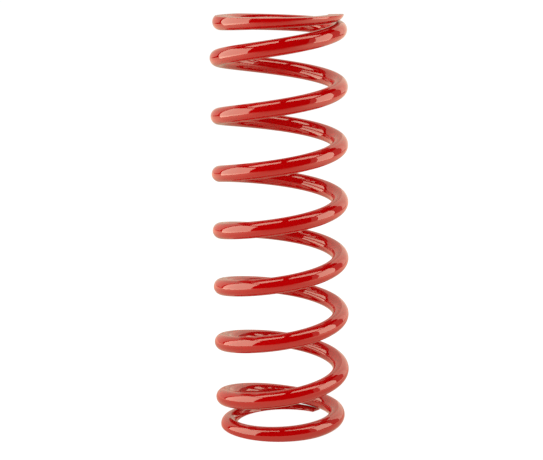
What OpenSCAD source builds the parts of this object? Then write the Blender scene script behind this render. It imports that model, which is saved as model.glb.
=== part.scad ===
// Compression coil spring for a suspension strut: one round wire, wound right-hand,
// with closed ends that are ground flat and a body a little wider than its ends.
// The origin is the centre of the lower ground face, and +Z is the coil axis.
// n counts turns along the wire, from 0 at the lower tip to "turns" at the upper tip.

/* [Wire] */
// Diameter of the round spring wire
wire_d = 10; // [8:0.5:11]

/* [Coils] */
// Length between the two ground faces with no load
free_length = 254; // [240:1:290]
// Wound turns from the lower tip to the upper tip
turns = 8.875; // [8.625:0.25:9.125]
// Mean diameter of the open coils
body_mean_d = 73; // [70:1:84]
// Mean diameter of the lower end coil
lower_mean_d = 67; // [60:1:70]
// Mean diameter of the upper end coil
upper_mean_d = 69; // [60:1:70]
// Direction of the lower tip, counter-clockwise from +X
lower_tip_angle = 50; // [40:1:90]

/* [Closed ends] */
// Wire thickness that grinding leaves at the lower tip
lower_tip_thickness = 2; // [2:0.5:5]
// Wire thickness that grinding leaves at the upper tip
upper_tip_thickness = 3.5; // [2:0.5:5]
// Gap between a closed end coil and the wire next to it
closed_gap = 0.3; // [0.2:0.1:1]
// Turns from the lower tip to where the coils start to open
lower_closed_turns = 0.97; // [0.85:0.01:1]
// Turns from the upper tip to where the coils start to open
upper_closed_turns = 0.95; // [0.85:0.01:1]
// Turns over which the pitch opens from closed to full
opening_turns = 0.2; // [0.15:0.05:0.5]
// Turns from the lower tip that keep the lower end coil's diameter
lower_narrow_turns = 0.65; // [0.1:0.05:0.8]
// Turns from the upper tip that keep the upper end coil's diameter
upper_narrow_turns = 0.45; // [0.1:0.05:0.8]
// Turns over which the diameter grows from the lower end coil's to the body's
lower_widening_turns = 0.9; // [0.5:0.05:1.2]
// Turns over which the diameter shrinks from the body's to the upper end coil's
upper_widening_turns = 0.8; // [0.5:0.05:1.2]

/* [Sections] */
// Quarter-turn sections of wire between the two end coils
quarters = 26; // [24:2:28]
// Clearance between neighbouring sections
section_gap = 0.04; // [0.02:0.01:0.1]

/* [Facets] */
// Sides of the wire
sides = 20; // [12:4:24]
// Steps along one turn of wire
steps_per_turn = 40; // [24:8:48]

/* [Hidden] */
wire_r = wire_d / 2;
body_r = body_mean_d / 2;
lower_r = lower_mean_d / 2;
upper_r = upper_mean_d / 2;

// At each tip the wire's centre lies this far beyond the ground face.
lower_sink = wire_r - lower_tip_thickness;
upper_sink = wire_r - upper_tip_thickness;

// The closed turns climb by one wire and the gap, and the open ones share what height is left.
closed_pitch = wire_d + closed_gap;
wound_rise = free_length + lower_sink + upper_sink;
open_turns = turns - lower_closed_turns - upper_closed_turns - opening_turns;
open_pitch = closed_pitch + (wound_rise - closed_pitch * turns) / open_turns;

// The quarters are centred along the wire, and each end coil takes what is left.
first_quarter = (turns - quarters / 4) / 2;
gap_turns = section_gap / (PI * body_mean_d);

// The block that grinding removes from an end is wider than the coil and deeper than the wire.
cut_width = 2 * body_mean_d;
cut_depth = 2 * wire_d;

red_coat = [0.76, 0.05, 0.06];
SIDE_NAMES = ["left", "front", "right", "back"];

function quarter_name(i) = str("coil_", 1 + floor(i / 4), "_", SIDE_NAMES[i % 4]);

// A smooth step from 0 to 1, and the area under it from 0 to t
function ease(t) =
    let (c = max(0, min(1, t)))
    c * c * (3 - 2 * c);
function ease_area(t) = t >= 1 ? t - 0.5 : t <= 0 ? 0 : t * t * t - t * t * t * t / 2;

// Progress of the two pitch changes: opening after the lower end, closing before the upper end
function opening(n) = (n - lower_closed_turns) / opening_turns;
function closing(n) = (n - turns + upper_closed_turns + opening_turns) / opening_turns;

// Rise per turn, and the height of the wire's centre, after n turns
function pitch(n) =
    closed_pitch + (open_pitch - closed_pitch) * (ease(opening(n)) - ease(closing(n)));
function height(n) =
    closed_pitch * n - lower_sink
    + (open_pitch - closed_pitch) * opening_turns * (ease_area(opening(n)) - ease_area(closing(n)));

// Radius of the wire's centre line after n turns
function coil_r(n) =
    let (
        low = ease((n - lower_narrow_turns) / lower_widening_turns),
        high = ease((n - turns + upper_narrow_turns + upper_widening_turns) / upper_widening_turns)
    )
    body_r + (lower_r - body_r) * (1 - low) + (upper_r - body_r) * high;

// The wire's outline in the upright plane through the coil axis. The climb of the wire
// makes that section taller than the wire is thick.
function outline(n) =
    let (
        climb = atan(pitch(n) / (2 * PI * coil_r(n))),
        direction = lower_tip_angle + 360 * n
    )
    [
        for (i = [0:sides - 1])
            let (
                a = 360 * i / sides,
                reach = coil_r(n) + wire_r * cos(a)
            )
            [
                reach * cos(direction),
                reach * sin(direction),
                height(n) + wire_r * sin(a) / cos(climb)
            ]
    ];

// A closed stretch of round wire from one place along the coil to another
module wire(from, to) {
    steps = ceil((to - from) * steps_per_turn - 0.001);
    points = [for (k = [0:steps]) each outline(from + (to - from) * k / steps)];
    start_face = [for (i = [0:sides - 1]) i];
    end_face = [for (i = [sides - 1:-1:0]) steps * sides + i];
    skin = [
        for (k = [0:steps - 1], i = [0:sides - 1])
            let (
                a = k * sides + i,
                b = k * sides + (i + 1) % sides
            )
            each [[a, a + sides, b], [b, a + sides, b + sides]]
    ];
    polyhedron(points, concat([start_face, end_face], skin));
}

// Everything from height "bottom" up to one cut depth above it
module grinding_cut(bottom) {
    translate([-cut_width / 2, -cut_width / 2, bottom])
        cube([cut_width, cut_width, cut_depth]);
}

module lower_end_coil() {
    color(red_coat)
        difference() {
            wire(0, first_quarter - gap_turns / 2);
            grinding_cut(-cut_depth);
        }
}

module coil_quarter(i) {
    from = first_quarter + i / 4;
    color(red_coat)
        wire(from + gap_turns / 2, from + 1 / 4 - gap_turns / 2);
}

module upper_end_coil() {
    color(red_coat)
        difference() {
            wire(turns - first_quarter + gap_turns / 2, turns);
            grinding_cut(free_length);
        }
}

lower_end_coil();
for (i = [0:quarters - 1])
    coil_quarter(i);
upper_end_coil();
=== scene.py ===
"""A red powder-coated coil spring with closed and ground ends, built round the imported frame.

The wire is one continuous swept surface, cut into one closed mesh for each CAD node, so that every
section meets the next with no gap or seam. All lengths are in metres, in the frame's own axes.
"""

import math

import bpy
import numpy as np
from mathutils import Matrix, Vector


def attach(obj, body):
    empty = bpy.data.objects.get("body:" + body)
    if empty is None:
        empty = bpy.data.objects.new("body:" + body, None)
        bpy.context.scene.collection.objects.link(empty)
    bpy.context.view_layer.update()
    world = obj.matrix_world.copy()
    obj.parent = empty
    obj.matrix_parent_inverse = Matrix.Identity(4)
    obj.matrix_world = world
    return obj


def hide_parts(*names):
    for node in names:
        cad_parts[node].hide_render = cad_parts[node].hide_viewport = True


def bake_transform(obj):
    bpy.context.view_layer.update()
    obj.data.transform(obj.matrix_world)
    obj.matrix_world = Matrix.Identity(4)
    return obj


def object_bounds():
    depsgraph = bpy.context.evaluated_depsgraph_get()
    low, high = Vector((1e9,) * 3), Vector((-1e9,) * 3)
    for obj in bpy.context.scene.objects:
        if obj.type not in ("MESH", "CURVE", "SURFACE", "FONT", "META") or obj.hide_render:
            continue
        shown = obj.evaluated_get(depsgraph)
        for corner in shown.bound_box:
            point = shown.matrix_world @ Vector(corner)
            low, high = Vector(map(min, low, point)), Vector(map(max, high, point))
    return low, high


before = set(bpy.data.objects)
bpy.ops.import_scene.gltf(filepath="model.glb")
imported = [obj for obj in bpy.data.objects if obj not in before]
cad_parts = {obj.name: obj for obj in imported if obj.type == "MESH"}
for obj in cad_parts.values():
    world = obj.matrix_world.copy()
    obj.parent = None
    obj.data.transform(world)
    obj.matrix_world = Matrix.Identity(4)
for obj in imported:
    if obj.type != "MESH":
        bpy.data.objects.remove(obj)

CAD_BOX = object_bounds()

# ------------------------------------------------------------------ the spring's sizes
FREE_LENGTH = CAD_BOX[1].z - CAD_BOX[0].z
WIRE_R = 0.005
BODY_R = 0.0365      # radius of the wire's middle line in the open coils,
LOWER_R = 0.0335     # in the lower closed end
UPPER_R = 0.0345     # and in the upper one
TURNS = 8.875        # from tip to tip
LOWER_TIP_ANGLE = math.radians(50)
LOWER_SINK = 0.003   # how far the middle line lies beyond the ground plane at the lower tip
UPPER_SINK = 0.0015  # and at the upper one
CLOSED_GAP = 0.0003
CLOSED_PITCH = 2 * WIRE_R + CLOSED_GAP
LOWER_CLOSED_TURNS = 0.97      # turns at the closed pitch, counted from each tip
UPPER_CLOSED_TURNS = 0.95
OPENING_TURNS = 0.2            # and from there to the open pitch, at both ends
LOWER_NARROW_TURNS = 0.65      # turns at the closed end's own radius, counted from each tip
UPPER_NARROW_TURNS = 0.45
LOWER_WIDENING_TURNS = 0.9     # and from there to the open coils' radius
UPPER_WIDENING_TURNS = 0.8

OPEN_TURNS = TURNS - LOWER_CLOSED_TURNS - UPPER_CLOSED_TURNS - OPENING_TURNS
WOUND_RISE = FREE_LENGTH + LOWER_SINK + UPPER_SINK   # of the middle line, from tip to tip
OPEN_PITCH = CLOSED_PITCH + (WOUND_RISE - CLOSED_PITCH * TURNS) / OPEN_TURNS

# ------------------------------------------------------------------ sections, as in the frame
LOWER_END = "lower_end_coil"
UPPER_END = "upper_end_coil"
QUARTER_ORDER = ["left", "front", "right", "back"]


def quarter_place(name):
    """Sorts names such as coil_3_left along the wire."""
    _, turn, side = name.split("_")
    return int(turn), QUARTER_ORDER.index(side)


QUARTERS = sorted((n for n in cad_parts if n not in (LOWER_END, UPPER_END)), key=quarter_place)
SECTIONS = [LOWER_END, *QUARTERS, UPPER_END]
FIRST_QUARTER = (TURNS - len(QUARTERS) / 4) / 2
LAST_QUARTER = TURNS - FIRST_QUARTER

# ------------------------------------------------------------------ mesh density and edges
STEPS_PER_TURN = 144
GROUND_EDGE_R = 0.00035   # rounding of the coated edge of a ground face
TIP_EDGE_R = 0.0005       # rounding of the cut end of the wire
TIP_STEPS = 6
FLAT_STEPS = 12           # columns across a ground face
EDGE_STEPS = 4            # columns round each of its two edges
SIDE_STEPS = 12           # columns on each side of the wire, between the two ground groups
GROUP_STEPS = FLAT_STEPS + 2 * EDGE_STEPS
COLUMNS = 2 * GROUP_STEPS + 2 * SIDE_STEPS
LEAST_GROUND_EDGE_R = GROUND_EDGE_R / 8              # what is left of it at the end of the wire
ROUND_HALF_ANGLE = math.pi * GROUP_STEPS / COLUMNS   # a ground group's half angle on round wire
RUN_OUT_HALF_ANGLE = math.radians(14)                # and where its ground face runs out
RUN_OUT_CLEARANCE = WIRE_R * math.cos(RUN_OUT_HALF_ANGLE)
SPREAD_CLEARANCE = 0.6 * WIRE_R    # further clearance over which one grows into the other
ROUND_SHARE = 0.6                  # most that a group takes of the round left by the opposite face
FACE_FADE = 0.03 * WIRE_R          # depth of cut at which the ground look is complete
EDGE_BLUR = 2.2                    # columns over which the rubbed look of an edge fades

# How much of the ground look and of the rubbed look each column of a ground group takes
FROM_MIDDLE = np.abs(np.arange(GROUP_STEPS + 1) - GROUP_STEPS / 2)
FROM_EDGE = FROM_MIDDLE - (FLAT_STEPS + EDGE_STEPS) / 2
FACE_SHARE = np.clip(FLAT_STEPS / 2 + 1 - FROM_MIDDLE, 0, 1)
EDGE_SHARE = np.exp(-((FROM_EDGE / EDGE_BLUR) ** 2))


# ------------------------------------------------------------------ the wire's middle line
def ease(t):
    """A smooth step from 0 to 1 as t goes from 0 to 1."""
    c = min(max(t, 0.0), 1.0)
    return c * c * (3 - 2 * c)


def ease_area(t):
    """The area under ease from 0 to t."""
    c = max(t, 0.0)
    return c - 0.5 if c > 1 else c**3 - c**4 / 2


def opening(n):
    """0 where the lower closed coil begins to open, 1 where it is fully open."""
    return (n - LOWER_CLOSED_TURNS) / OPENING_TURNS


def closing(n):
    """0 where the coils begin to close towards the upper end, 1 where they are closed."""
    return (n - TURNS + UPPER_CLOSED_TURNS + OPENING_TURNS) / OPENING_TURNS


def pitch(n):
    """Rise of the middle line per turn, n turns from the lower tip."""
    return CLOSED_PITCH + (OPEN_PITCH - CLOSED_PITCH) * (ease(opening(n)) - ease(closing(n)))


def height(n):
    """Height of the middle line, n turns from the lower tip."""
    opened = OPENING_TURNS * (ease_area(opening(n)) - ease_area(closing(n)))
    return CLOSED_PITCH * n - LOWER_SINK + (OPEN_PITCH - CLOSED_PITCH) * opened


def coil_radius(n):
    """Distance of the middle line from the axis, n turns from the lower tip."""
    lower = 1 - ease((n - LOWER_NARROW_TURNS) / LOWER_WIDENING_TURNS)
    upper = ease((n - TURNS + UPPER_NARROW_TURNS + UPPER_WIDENING_TURNS) / UPPER_WIDENING_TURNS)
    return BODY_R + (LOWER_R - BODY_R) * lower + (UPPER_R - BODY_R) * upper


# ------------------------------------------------------------------ one cross-section
def ground_group(clearance, opposite, inset):
    """One ground group of columns, left to right: sideways, outwards to the plane, and half angle.

    clearance is how far the middle line lies inside the ground plane, opposite is the same for the
    other end's plane, and inset is how far the outline is drawn in at the rounded end of the wire.
    """
    radius = WIRE_R - inset
    plane = clearance - inset
    edge = max(GROUND_EDGE_R - inset, LEAST_GROUND_EDGE_R)
    if clearance < RUN_OUT_CLEARANCE:
        half_flat = math.sqrt((radius - edge) ** 2 - (plane - edge) ** 2)
        half_angle = math.atan2(half_flat, plane - edge)
        turn = half_angle * np.linspace(0, 1, EDGE_STEPS + 1)
        edge_across = half_flat + edge * np.sin(turn)
        edge_out = plane - edge + edge * np.cos(turn)
        flat = half_flat * np.linspace(-1, 1, FLAT_STEPS + 1)[1:-1]
        across = np.concatenate([-edge_across[::-1], flat, edge_across])
        out = np.concatenate([edge_out[::-1], np.full(len(flat), plane), edge_out])
        return across, out, half_angle
    spread = ease((clearance - RUN_OUT_CLEARANCE) / SPREAD_CLEARANCE)
    half_angle = RUN_OUT_HALF_ANGLE + (ROUND_HALF_ANGLE - RUN_OUT_HALF_ANGLE) * spread
    still_round = math.pi - math.acos(min(max(opposite / WIRE_R, -1.0), 1.0))
    half_angle = min(half_angle, ROUND_SHARE * still_round)
    turn = half_angle * np.linspace(-1, 1, GROUP_STEPS + 1)
    return radius * np.sin(turn), np.minimum(radius * np.cos(turn), plane), half_angle


def ring(n, inset):
    """One cross-section: its points, and each point's share of ground face and of edge."""
    middle = coil_radius(n)
    stretch = 1 / math.cos(math.atan(pitch(n) / (2 * math.pi * middle)))
    low_clearance = height(n) / stretch
    top_clearance = (FREE_LENGTH - height(n)) / stretch
    low_across, low_out, low_angle = ground_group(low_clearance, top_clearance, inset)
    top_across, top_out, top_angle = ground_group(top_clearance, low_clearance, inset)
    radius = WIRE_R - inset
    outer = np.linspace(low_angle - math.pi / 2, math.pi / 2 - top_angle, SIDE_STEPS + 1)[1:-1]
    inner = math.pi - outer[::-1]
    across = np.concatenate([low_across, radius * np.cos(outer), -top_across, radius * np.cos(inner)])
    up = np.concatenate([-low_out, radius * np.sin(outer), top_out, radius * np.sin(inner)])
    direction = LOWER_TIP_ANGLE + 2 * math.pi * n
    reach = middle + across
    upright = height(n) + up * stretch
    place = np.stack([reach * math.cos(direction), reach * math.sin(direction), upright], 1)
    between = np.zeros(SIDE_STEPS - 1)
    low_cut = ease((WIRE_R - low_clearance) / FACE_FADE)
    top_cut = ease((WIRE_R - top_clearance) / FACE_FADE)
    ground = np.concatenate([FACE_SHARE * low_cut, between, FACE_SHARE * top_cut, between])
    edges = np.concatenate([EDGE_SHARE * low_cut, between, EDGE_SHARE * top_cut, between])
    return place, ground, edges


def tip_rings(coil_r):
    """(turns from the tip, inset) of the rings that round the cut end of the wire."""
    angles = [math.pi / 2 * i / TIP_STEPS for i in range(TIP_STEPS)]
    turn_length = 2 * math.pi * coil_r
    return [
        (TIP_EDGE_R * (1 - math.cos(a)) / turn_length, TIP_EDGE_R * (1 - math.sin(a)))
        for a in angles
    ]


def ring_plan():
    """Every ring of the wire as (turns, inset), and the first and last ring of each section."""
    first = TIP_EDGE_R / (2 * math.pi * LOWER_R)
    last = TURNS - TIP_EDGE_R / (2 * math.pi * UPPER_R)
    end_steps = round(FIRST_QUARTER * STEPS_PER_TURN)
    plan = tip_rings(LOWER_R) + [(n, 0.0) for n in np.linspace(first, FIRST_QUARTER, end_steps + 1)]
    cuts = [0, len(plan) - 1]
    for i in range(len(QUARTERS)):
        start = FIRST_QUARTER + i / 4
        plan += [(n, 0.0) for n in np.linspace(start, start + 0.25, STEPS_PER_TURN // 4 + 1)[1:]]
        cuts.append(len(plan) - 1)
    plan += [(n, 0.0) for n in np.linspace(LAST_QUARTER, last, end_steps + 1)[1:]]
    plan += [(TURNS - along, inset) for along, inset in reversed(tip_rings(UPPER_R))]
    cuts.append(len(plan) - 1)
    return plan, cuts


def surface_normals(place):
    """Smooth normals of the whole wire, each quad and end face weighted by its area."""
    beside = np.roll(place, -1, 1)
    quads = np.cross(beside[1:] - place[:-1], beside[:-1] - place[1:])
    around = quads + np.roll(quads, 1, 1)
    total = np.zeros_like(place)
    total[:-1] += around
    total[1:] += around
    for end, sign in ((0, 1), (-1, -1)):
        spokes = place[end] - place[end].mean(0)
        total[end] += sign * np.cross(spokes, np.roll(spokes, -1, 0)).sum(0)
    return total / np.linalg.norm(total, axis=2, keepdims=True)


PLAN, CUTS = ring_plan()
PLACE, GROUND, EDGES = (np.array(part) for part in zip(*(ring(n, inset) for n, inset in PLAN)))
NORMALS = surface_normals(PLACE)


# ------------------------------------------------------------------ the red coat
COAT_INDEX = 1.8                           # a thick glossy lacquer
COAT_RED = (0.48, 0.0006, 0.0012)
COAT_THICK_RED = (0.42, 0.0004, 0.0010)    # where the coat gathered a little
COAT_EDGE_RED = (0.56, 0.016, 0.012)       # where it is thin and rubbed
MOTTLE_SCALE = 70.0      # scales are in noise cells per metre
RUBBED_SCALE = 240.0
PEEL_SCALE = 420.0
GRAIN_SCALE = 2600.0
MARKS_SCALE = 620.0
PEEL_DEPTH = 0.0000012   # depths are in metres
GRAIN_DEPTH = 0.0000001
MARKS_DEPTH = 0.00004
AXIS_FROM_WHEEL = (0.14, 0.05, 0)          # the coil's axis, from the grinding wheel's centre
# Roughness of the coat, as the most that each of these adds to it
GROUND_ROUGHNESS = 0.14
RUBBED_ROUGHNESS = 0.12
GRAIN_ROUGHNESS = 0.02
MOTTLE_ROUGHNESS = 0.05


def node(tree, kind, **inputs):
    """A shader node with some of its inputs set, by name."""
    made = tree.nodes.new(kind)
    for name, value in inputs.items():
        made.inputs[name.replace("_", " ")].default_value = value
    return made


def attribute(tree, name):
    made = tree.nodes.new("ShaderNodeAttribute")
    made.attribute_name = name
    return made


def noise(tree, scale, detail):
    """Noise fixed to the wire, so that it doesn't slide when the spring is compressed."""
    made = node(tree, "ShaderNodeTexNoise", Scale=scale, Detail=detail)
    tree.links.new(attribute(tree, "rest_place").outputs["Vector"], made.inputs["Vector"])
    return made.outputs["Fac"]


def maths(tree, operation, first, second):
    made = tree.nodes.new("ShaderNodeMath")
    made.operation = operation
    for socket, value in zip(made.inputs, (first, second)):
        if isinstance(value, (int, float)):
            socket.default_value = value
        else:
            tree.links.new(value, socket)
    return made.outputs["Value"]


def mixed(tree, share, first, second):
    """A colour between two others: each is a colour or another node's output."""
    made = tree.nodes.new("ShaderNodeMixRGB")
    tree.links.new(share, made.inputs["Fac"])
    for socket, value in zip(("Color1", "Color2"), (first, second)):
        if isinstance(value, tuple):
            made.inputs[socket].default_value = (*value, 1)
        else:
            tree.links.new(value, made.inputs[socket])
    return made.outputs["Color"]


def bumped(tree, height, depth, below=None):
    """Relief of the given depth, on top of any relief below it."""
    made = node(tree, "ShaderNodeBump", Strength=1.0, Distance=depth)
    tree.links.new(height, made.inputs["Height"])
    if below:
        tree.links.new(below, made.inputs["Normal"])
    return made.outputs["Normal"]


def grinding_marks(tree):
    """Shallow arcs across the ground faces, left by the grinding wheel and softened by the coat."""
    shift = tree.nodes.new("ShaderNodeVectorMath")
    shift.operation = "ADD"
    shift.inputs[1].default_value = AXIS_FROM_WHEEL
    tree.links.new(attribute(tree, "rest_place").outputs["Vector"], shift.inputs[0])
    rings = node(tree, "ShaderNodeTexWave", Scale=MARKS_SCALE, Distortion=3.0, Detail=3.0)
    rings.inputs["Detail Scale"].default_value = 0.4
    rings.wave_type = "RINGS"
    rings.rings_direction = "Z"
    tree.links.new(shift.outputs["Vector"], rings.inputs["Vector"])
    on_face = attribute(tree, "ground_face").outputs["Fac"]
    return maths(tree, "MULTIPLY", rings.outputs["Fac"], on_face)


def red_coat():
    """Glossy red powder coat: orange peel, fine grain, mottle, grinding marks and rubbed edges."""
    material = bpy.data.materials.new("red_powder_coat")
    material.use_nodes = True
    tree = material.node_tree
    shader = tree.nodes["Principled BSDF"]
    shader.inputs["IOR"].default_value = COAT_INDEX

    mottle = noise(tree, MOTTLE_SCALE, detail=3.0)
    grain = noise(tree, GRAIN_SCALE, detail=2.0)
    rubbed = noise(tree, RUBBED_SCALE, detail=4.0)
    rubbed = maths(tree, "MULTIPLY", attribute(tree, "coat_edge").outputs["Fac"], rubbed)
    colour = mixed(tree, rubbed, mixed(tree, mottle, COAT_THICK_RED, COAT_RED), COAT_EDGE_RED)
    tree.links.new(colour, shader.inputs["Base Color"])

    on_face = attribute(tree, "ground_face").outputs["Fac"]
    roughness = maths(tree, "MULTIPLY", on_face, GROUND_ROUGHNESS)
    for source, most in (
        (rubbed, RUBBED_ROUGHNESS),
        (grain, GRAIN_ROUGHNESS),
        (mottle, MOTTLE_ROUGHNESS),
    ):
        roughness = maths(tree, "ADD", roughness, maths(tree, "MULTIPLY", source, most))
    tree.links.new(roughness, shader.inputs["Roughness"])

    relief = bumped(tree, noise(tree, PEEL_SCALE, detail=1.0), PEEL_DEPTH)
    relief = bumped(tree, grain, GRAIN_DEPTH, relief)
    relief = bumped(tree, grinding_marks(tree), MARKS_DEPTH, relief)
    tree.links.new(relief, shader.inputs["Normal"])
    return material


COAT = red_coat()


# ------------------------------------------------------------------ one closed mesh per section
def float_attribute(mesh, name, values):
    made = mesh.attributes.new(name, "FLOAT", "POINT")
    made.data.foreach_set("value", np.ravel(values).astype(np.float32))


def section(name, first, last):
    """The wire from ring first to ring last, closed by a flat face at each end."""
    rings = last - first + 1
    corner = np.arange(rings * COLUMNS).reshape(rings, COLUMNS)
    beside = np.roll(corner, -1, 1)
    quads = np.stack([corner[:-1], corner[1:], beside[1:], beside[:-1]], 2).reshape(-1, 4)
    faces = quads.tolist() + [corner[0].tolist(), corner[-1][::-1].tolist()]
    place = PLACE[first:last + 1].reshape(-1, 3)
    mesh = bpy.data.meshes.new(name)
    mesh.from_pydata(place.tolist(), [], faces)
    mesh.polygons.foreach_set("use_smooth", [True] * len(quads) + [False, False])
    rest = mesh.attributes.new("rest_place", "FLOAT_VECTOR", "POINT")
    rest.data.foreach_set("vector", place.astype(np.float32).ravel())
    float_attribute(mesh, "ground_face", GROUND[first:last + 1])
    float_attribute(mesh, "coat_edge", EDGES[first:last + 1])
    smooth = NORMALS[first:last + 1].reshape(-1, 3)[quads.ravel()]
    end_normals = [np.tile(mesh.polygons[len(quads) + i].normal, (COLUMNS, 1)) for i in (0, 1)]
    mesh.normals_split_custom_set(np.concatenate([smooth, *end_normals]).tolist())
    mesh.materials.append(COAT)
    piece = bpy.data.objects.new(name, mesh)
    bpy.context.scene.collection.objects.link(piece)
    return piece


def bend_with_the_spring(piece):
    """Bakes the section's placement into its mesh, and does nothing more.
    """
    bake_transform(piece)


for name, first, last in zip(SECTIONS, CUTS[:-1], CUTS[1:]):
    piece = section(f"wire_{name}", first, last)
    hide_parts(name)
    if name in (LOWER_END, UPPER_END):
        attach(piece, name)
    else:
        bend_with_the_spring(piece)


# ------------------------------------------------------------------ floor, light and camera
FLOOR_SIDE = 0.9
FLOOR_FRONT = -0.8
FLOOR_BACK = 1.5
FLOOR_COLOUR = (0.12, 0.12, 0.12, 1)   # under the glow, so that shadows hardly show
FLOOR_GLOW = 0.97
TABLE_DROP = 0.0005                    # the table top lies this far below the floor
# Colour of the table top's glow: painted light, standing in for the soft boxes' light falling on it
TABLE_PAINTED_LIGHT_COLOUR = (0.84, 0.62, 0.44, 1)
# Painted light on the table top, as the brightness of its glow from front to back, fading into
# painted shade in front, and from left to right, brightest at the sides, as (place, number)
TABLE_PAINTED_LIGHT_ALONG = (
    (-0.75, 0.10),
    (-0.45, 0.40),
    (-0.28, 0.80),
    (-0.05, 0.95),
    (0.15, 0.85),
    (0.60, 0.75),
)
TABLE_PAINTED_LIGHT_ACROSS = ((-0.35, 1.8), (-0.08, 1.0), (0.08, 1.0), (0.35, 2.0))
WARM = (1.10, 1.0, 0.77)               # the colour of every soft box
DOME_STRENGTH = 1.05
TO_RIGHT = (1, 0, 0)                   # which way a soft box faces
TO_LEFT = (-1, 0, 0)
TO_FRONT = (0, -1, 0)
UP = (0, 0, 1)
DOWN = (0, 0, -1)
CAMERA_PLACE = (0.0133, -0.9493, 0.3005)
CAMERA_LENS = 104.55
CAMERA_TURN = math.radians(1.137)
CAMERA_DIP = math.radians(10.573)
CAMERA_ROLL = math.radians(0.681)


def sheet(name):
    """A sheet of floor with no gloss, with its node tree and its shader for the look."""
    mesh = bpy.data.meshes.new(name)
    corners = [
        (-FLOOR_SIDE, FLOOR_FRONT, CAD_BOX[0].z),
        (FLOOR_SIDE, FLOOR_FRONT, CAD_BOX[0].z),
        (FLOOR_SIDE, FLOOR_BACK, CAD_BOX[0].z),
        (-FLOOR_SIDE, FLOOR_BACK, CAD_BOX[0].z),
    ]
    mesh.from_pydata(corners, [], [(0, 1, 2, 3)])
    material = bpy.data.materials.new(name)
    material.use_nodes = True
    shader = material.node_tree.nodes["Principled BSDF"]
    shader.inputs["Roughness"].default_value = 1.0
    shader.inputs["Specular IOR Level"].default_value = 0.0
    mesh.materials.append(material)
    made = bpy.data.objects.new(name, mesh)
    bpy.context.scene.collection.objects.link(made)
    return made, material.node_tree, shader


def ramp(tree, value, stops):
    """A number that goes smoothly through (place, number) stops as value grows."""
    low = stops[0][0]
    high = stops[-1][0]
    most = max(number for _, number in stops)
    share = node(tree, "ShaderNodeMapRange", From_Min=low, From_Max=high)
    tree.links.new(value, share.inputs["Value"])
    made = tree.nodes.new("ShaderNodeValToRGB")
    made.color_ramp.interpolation = "EASE"
    for place, _ in stops[1:-1]:
        made.color_ramp.elements.new((place - low) / (high - low))
    for element, (_, number) in zip(made.color_ramp.elements, stops):
        element.color = (number / most, number / most, number / most, 1)
    tree.links.new(share.outputs["Result"], made.inputs["Fac"])
    return maths(tree, "MULTIPLY", made.outputs["Color"], most)


def floor():
    """White to the camera; to the coat, a glowing table top of painted light, bright at the sides and
    dimming to painted shade in front.
    """
    seen, _, shader = sheet("floor")
    shader.inputs["Base Color"].default_value = FLOOR_COLOUR
    shader.inputs["Emission Color"].default_value = (1, 1, 1, 1)
    shader.inputs["Emission Strength"].default_value = FLOOR_GLOW
    seen.visible_glossy = False
    seen.visible_diffuse = False

    table, tree, shader = sheet("table_top_painted_light")
    table.location.z -= TABLE_DROP
    table.visible_camera = False
    shader.inputs["Base Color"].default_value = (0, 0, 0, 1)
    shader.inputs["Emission Color"].default_value = TABLE_PAINTED_LIGHT_COLOUR
    split = tree.nodes.new("ShaderNodeSeparateXYZ")
    geometry = tree.nodes.new("ShaderNodeNewGeometry")
    tree.links.new(geometry.outputs["Position"], split.inputs["Vector"])
    # Painted light and shade: the glow is strongest at the sides and dims towards the front
    along = ramp(tree, split.outputs["Y"], TABLE_PAINTED_LIGHT_ALONG)
    across = ramp(tree, split.outputs["X"], TABLE_PAINTED_LIGHT_ACROSS)
    tree.links.new(maths(tree, "MULTIPLY", along, across), shader.inputs["Emission Strength"])


def lamp(name, centre, facing, width, depth, radiance):
    """An evenly bright rectangle that the camera itself doesn't see."""
    back = -Vector(facing)
    hint = Vector((0, 0, 1)) if abs(back.z) < 0.5 else Vector((0, 1, 0))
    right = hint.cross(back).normalized()
    light = bpy.data.lights.new(name, "AREA")
    light.shape = "RECTANGLE"
    light.size = width
    light.size_y = depth
    light.energy = radiance * math.pi * width * depth
    light.color = WARM
    made = bpy.data.objects.new(name, light)
    axes = Matrix((right, back.cross(right), back)).transposed()
    made.matrix_world = Matrix.Translation(centre) @ axes.to_4x4()
    made.visible_camera = False
    bpy.context.scene.collection.objects.link(made)
    return made


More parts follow.
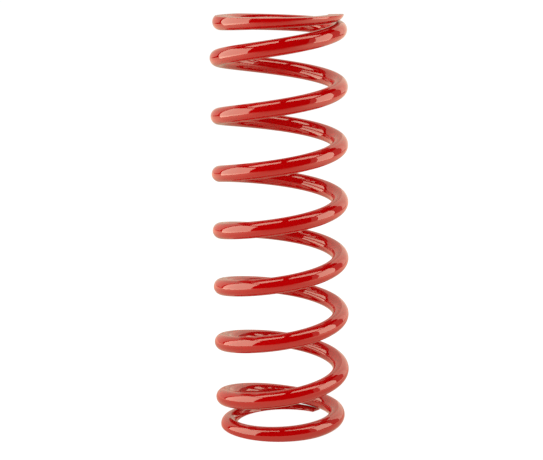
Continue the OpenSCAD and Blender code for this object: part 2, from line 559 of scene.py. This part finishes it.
def panel(name, centre, facing, width, depth, shine=0, fill=0):
    """A soft box, whose shine in the gloss and whose fill of the coat's own colour are set apart."""
    if shine:
        lamp(name, centre, facing, width, depth, shine).visible_diffuse = False
    if fill:
        lamp(f"{name}_fill", centre, facing, width, depth, fill).visible_glossy = False


def surroundings():
    """An even white dome, which lights the coat but doesn't show in its gloss."""
    world = bpy.data.worlds.new("studio")
    bpy.context.scene.world = world
    world.use_nodes = True
    background = world.node_tree.nodes["Background"]
    background.inputs["Color"].default_value = (1, 1, 1, 1)
    background.inputs["Strength"].default_value = DOME_STRENGTH
    world.cycles_visibility.glossy = False


def camera():
    """The viewpoint: nearly a metre in front, a little above the spring's top, with a long lens."""
    data = bpy.data.cameras.new("camera")
    data.lens = CAMERA_LENS
    made = bpy.data.objects.new("camera", data)
    turn = Matrix.Rotation(CAMERA_TURN, 4, "Z")
    tilt = Matrix.Rotation(math.pi / 2 - CAMERA_DIP, 4, "X")
    roll = Matrix.Rotation(-CAMERA_ROLL, 4, "Z")
    made.matrix_world = Matrix.Translation(CAMERA_PLACE) @ turn @ tilt @ roll
    bpy.context.scene.collection.objects.link(made)
    bpy.context.scene.camera = made


floor()
surroundings()
panel("left_panel", (-0.47, -0.10, 0.295), TO_RIGHT, 0.60, 0.60, shine=2.7, fill=2.1)
panel("right_panel", (0.55, -0.105, 0.345), TO_LEFT, 0.37, 0.61, shine=2.75, fill=1.8)
panel("right_edge", (0.55, -0.375, 0.345), TO_LEFT, 0.17, 0.61, shine=0.32)
panel("right_corner", (0.60, 0.35, 0.345), TO_LEFT, 0.50, 0.61, shine=0.24)
panel("left_top_panel", (-0.66, -0.275, 1.50), DOWN, 0.96, 0.69, shine=2.9)
panel("right_top_panel", (0.565, -0.310, 1.50), DOWN, 1.13, 0.62, shine=2.8)
panel("backdrop_left", (-1.05, 1.50, 1.05), TO_FRONT, 2.7, 2.1, shine=0.7)
panel("backdrop_right", (1.25, 1.50, 1.05), TO_FRONT, 1.9, 2.1, shine=1.1)
panel("front_fill", (0, -0.32, 0.002), UP, 1.2, 0.5, fill=0.2)
camera()
bpy.context.scene.view_settings.view_transform = "Standard"
